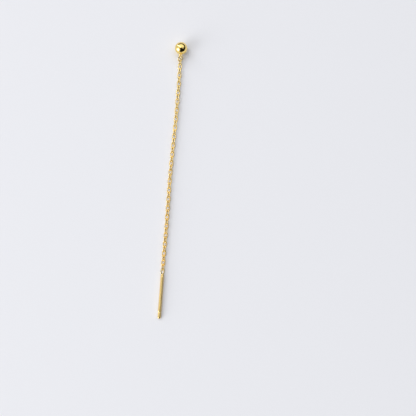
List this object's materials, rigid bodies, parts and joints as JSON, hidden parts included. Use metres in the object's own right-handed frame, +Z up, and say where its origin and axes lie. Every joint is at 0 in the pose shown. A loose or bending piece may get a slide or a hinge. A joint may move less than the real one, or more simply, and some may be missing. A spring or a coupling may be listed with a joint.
{
  "type": "threader earring",
  "caption": "Threader earring with a polished ball, a jump ring, a fine cable chain and a straight grooved bar that passes through the ear, lying flat.",
  "frame": {"origin": "middle of the whole earring's box, on the surface that it lies on", "axes": "+Y along the earring from the bar towards the ball, +Z up from the surface, +X to the right seen from above"},
  "size_m": [0.003, 0.0666, 0.003],
  "materials": {
    "polished_ball": "mirror-polished yellow gold plating",
    "ring_wire": "polished yellow gold plating on round wire",
    "chain_wire": "tumble-polished yellow gold plating on round wire",
    "bar_wire": "drawn and polished yellow gold plating on straight wire"
  },
  "bodies": {
    "root": {"ball": "polished_ball", "jump_ring": "ring_wire", "chain": "chain_wire", "threader_bar": "bar_wire"}
  },
  "joints": []
}
